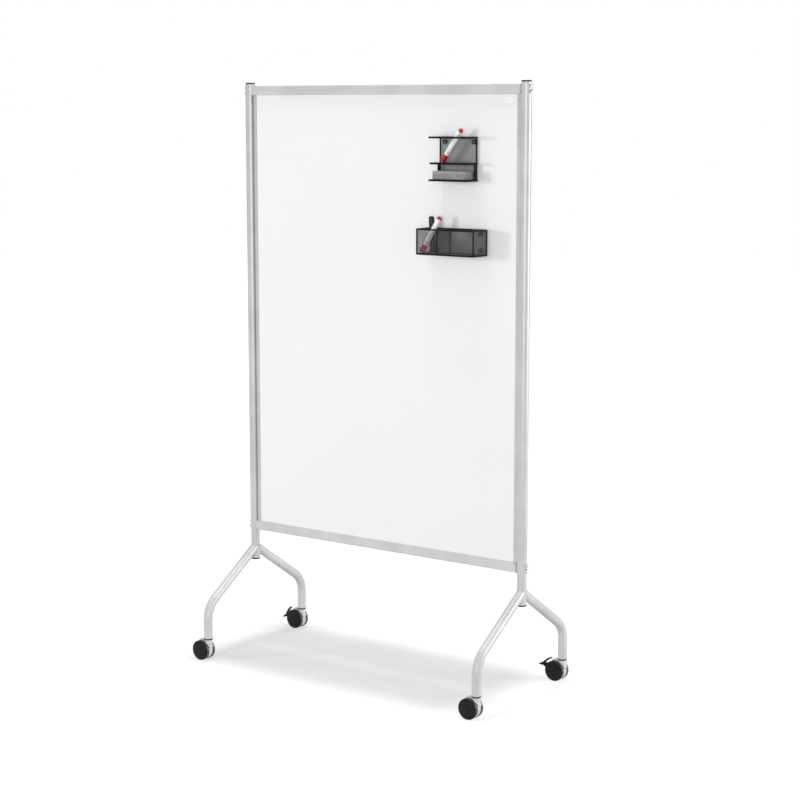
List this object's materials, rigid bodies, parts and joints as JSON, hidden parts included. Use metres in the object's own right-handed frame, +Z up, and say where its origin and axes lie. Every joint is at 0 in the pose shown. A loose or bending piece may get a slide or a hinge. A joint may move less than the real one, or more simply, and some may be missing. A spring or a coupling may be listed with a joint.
{
  "type": "rolling whiteboard",
  "caption": "Tall double-sided magnetic whiteboard in a tube frame on bent inverted-Y legs with twin-wheel swivel casters, rear brakes and clip-on mesh organizers.",
  "frame": {"origin": "on the floor, at the centre of the overall footprint; the board's own vertical centre line is at x = 0.02976 m because the casters trail and the brake levers reach towards -X", "axes": "+Z up, -Y out of the front face that carries the organizers, +X to the right as seen from the front"},
  "size_m": [1.132, 0.516, 1.8288],
  "materials": {
    "painted_tube": "silver-grey powder coat, fine texture, semi-gloss",
    "painted_profile": "silver-grey satin coat",
    "end_piece_plastic": "grey moulded plastic",
    "bolt_steel": "zinc-plated steel",
    "black_plastic": "black moulded plastic",
    "panel_core_board": "pressed fibre board, edges only",
    "white_steel": "white gloss enamel on steel sheet",
    "badge_plastic": "blank pale badge with a fine rim",
    "hood_plastic": "silver-grey moulded plastic",
    "wheel_plastic": "black glossy nylon",
    "black_powder_coat": "black powder coat, satin",
    "black_steel_mesh": "fine black steel mesh",
    "magnet_dark": "black coated magnet with a riveted centre",
    "grey_felt": "dense pressed felt",
    "eraser_foam": "grey felt-covered block",
    "marker_white": "white moulded plastic",
    "marker_red": "red moulded plastic",
    "marker_black": "black moulded plastic"
  },
  "bodies": {
    "board_frame": {"left_upright_tube": "painted_tube", "right_upright_tube": "painted_tube", "left_side_profile": "painted_profile", "right_side_profile": "painted_profile", "top_rail": "painted_profile", "bottom_rail": "painted_profile", "rail_end_brackets": "end_piece_plastic", "rail_bolts": "bolt_steel", "upright_end_caps": "black_plastic", "left_front_leg": "painted_tube", "left_rear_leg": "painted_tube", "right_front_leg": "painted_tube", "right_rear_leg": "painted_tube", "panel_core": "panel_core_board", "front_writing_sheet": "white_steel", "back_writing_sheet": "white_steel", "corner_badge": "badge_plastic", "caster_sockets": "black_plastic", "caster_stems": "bolt_steel"},
    "front_left_caster": {"front_left_hood": "hood_plastic", "front_left_axle": "bolt_steel"},
    "front_left_outer_wheel": {"front_left_wheel_outer": "wheel_plastic"},
    "front_left_inner_wheel": {"front_left_wheel_inner": "wheel_plastic"},
    "front_right_caster": {"front_right_hood": "hood_plastic", "front_right_axle": "bolt_steel"},
    "front_right_outer_wheel": {"front_right_wheel_outer": "wheel_plastic"},
    "front_right_inner_wheel": {"front_right_wheel_inner": "wheel_plastic"},
    "rear_left_caster": {"rear_left_hood": "hood_plastic", "rear_left_axle": "bolt_steel", "rear_left_brake_pin": "bolt_steel"},
    "rear_left_outer_wheel": {"rear_left_wheel_outer": "wheel_plastic"},
    "rear_left_inner_wheel": {"rear_left_wheel_inner": "wheel_plastic"},
    "rear_left_brake": {"rear_left_brake_lever": "black_plastic"},
    "rear_right_caster": {"rear_right_hood": "hood_plastic", "rear_right_axle": "bolt_steel", "rear_right_brake_pin": "bolt_steel"},
    "rear_right_outer_wheel": {"rear_right_wheel_outer": "wheel_plastic"},
    "rear_right_inner_wheel": {"rear_right_wheel_inner": "wheel_plastic"},
    "rear_right_brake": {"rear_right_brake_lever": "black_plastic"},
    "upper_organizer": {"shelf_back_frame": "black_powder_coat", "shelf_back_mesh": "black_steel_mesh", "shelf_top_tier": "black_powder_coat", "shelf_middle_tier": "black_powder_coat", "shelf_bottom_tier": "black_powder_coat", "shelf_magnets": "magnet_dark"},
    "eraser": {"eraser_felt": "grey_felt", "eraser_body": "eraser_foam"},
    "upper_red_marker": {"shelf_marker_barrel": "marker_white", "shelf_marker_cap": "marker_red", "shelf_marker_plug": "marker_red"},
    "lower_organizer": {"tray_frame": "black_powder_coat", "tray_basket": "black_steel_mesh", "tray_divider": "black_steel_mesh", "tray_magnets": "magnet_dark"},
    "lower_red_marker": {"red_marker_barrel": "marker_white", "red_marker_cap": "marker_red", "red_marker_plug": "marker_red"},
    "lower_black_marker": {"black_marker_barrel": "marker_black", "black_marker_cap": "marker_black"}
  },
  "joints": [
    {"name": "front_left_swivel", "type": "hinge", "parent": "board_frame", "child": "front_left_caster", "pos_m": [-0.48774, -0.237, 0.06], "axis": [0, 0, 1], "continuous": true},
    {"name": "front_left_outer_spin", "type": "hinge", "parent": "front_left_caster", "child": "front_left_outer_wheel", "pos_m": [-0.50774, -0.237, 0.03175], "axis": [0, 1, 0], "continuous": true},
    {"name": "front_left_inner_spin", "type": "hinge", "parent": "front_left_caster", "child": "front_left_inner_wheel", "pos_m": [-0.50774, -0.237, 0.03175], "axis": [0, 1, 0], "continuous": true},
    {"name": "front_right_swivel", "type": "hinge", "parent": "board_frame", "child": "front_right_caster", "pos_m": [0.54726, -0.237, 0.06], "axis": [0, 0, 1], "continuous": true},
    {"name": "front_right_outer_spin", "type": "hinge", "parent": "front_right_caster", "child": "front_right_outer_wheel", "pos_m": [0.52726, -0.237, 0.03175], "axis": [0, 1, 0], "continuous": true},
    {"name": "front_right_inner_spin", "type": "hinge", "parent": "front_right_caster", "child": "front_right_inner_wheel", "pos_m": [0.52726, -0.237, 0.03175], "axis": [0, 1, 0], "continuous": true},
    {"name": "rear_left_swivel", "type": "hinge", "parent": "board_frame", "child": "rear_left_caster", "pos_m": [-0.48774, 0.237, 0.06], "axis": [0, 0, 1], "continuous": true},
    {"name": "rear_left_outer_spin", "type": "hinge", "parent": "rear_left_caster", "child": "rear_left_outer_wheel", "pos_m": [-0.50774, 0.237, 0.03175], "axis": [0, 1, 0], "continuous": true},
    {"name": "rear_left_inner_spin", "type": "hinge", "parent": "rear_left_caster", "child": "rear_left_inner_wheel", "pos_m": [-0.50774, 0.237, 0.03175], "axis": [0, 1, 0], "continuous": true},
    {"name": "rear_left_brake", "type": "hinge", "parent": "rear_left_caster", "child": "rear_left_brake", "pos_m": [-0.52674, 0.237, 0.04575], "axis": [0, -1, 0], "range_deg": [-20, 0]},
    {"name": "rear_right_swivel", "type": "hinge", "parent": "board_frame", "child": "rear_right_caster", "pos_m": [0.54726, 0.237, 0.06], "axis": [0, 0, 1], "continuous": true},
    {"name": "rear_right_outer_spin", "type": "hinge", "parent": "rear_right_caster", "child": "rear_right_outer_wheel", "pos_m": [0.52726, 0.237, 0.03175], "axis": [0, 1, 0], "continuous": true},
    {"name": "rear_right_inner_spin", "type": "hinge", "parent": "rear_right_caster", "child": "rear_right_inner_wheel", "pos_m": [0.52726, 0.237, 0.03175], "axis": [0, 1, 0], "continuous": true},
    {"name": "rear_right_brake", "type": "hinge", "parent": "rear_right_caster", "child": "rear_right_brake", "pos_m": [0.50826, 0.237, 0.04575], "axis": [0, -1, 0], "range_deg": [0, 20]},
    {"name": "upper_organizer_pull_off", "type": "slide", "parent": "board_frame", "child": "upper_organizer", "axis": [0, -1, 0], "range_m": [0, 0.08]},
    {"name": "eraser_take_out", "type": "slide", "parent": "upper_organizer", "child": "eraser", "axis": [0, -1, 0], "range_m": [0, 0.07]},
    {"name": "upper_red_marker_lift_out", "type": "slide", "parent": "upper_organizer", "child": "upper_red_marker", "axis": [0.5878, 0, 0.809], "range_m": [0, 0.12]},
    {"name": "lower_organizer_pull_off", "type": "slide", "parent": "board_frame", "child": "lower_organizer", "axis": [0, -1, 0], "range_m": [0, 0.08]},
    {"name": "lower_red_marker_lift_out", "type": "slide", "parent": "lower_organizer", "child": "lower_red_marker", "axis": [0.3881, 0.2605, 0.884], "range_m": [0, 0.1]},
    {"name": "lower_black_marker_lift_out", "type": "slide", "parent": "lower_organizer", "child": "lower_black_marker", "axis": [-0.0698, 0, 0.9976], "range_m": [0, 0.12]}
  ]
}
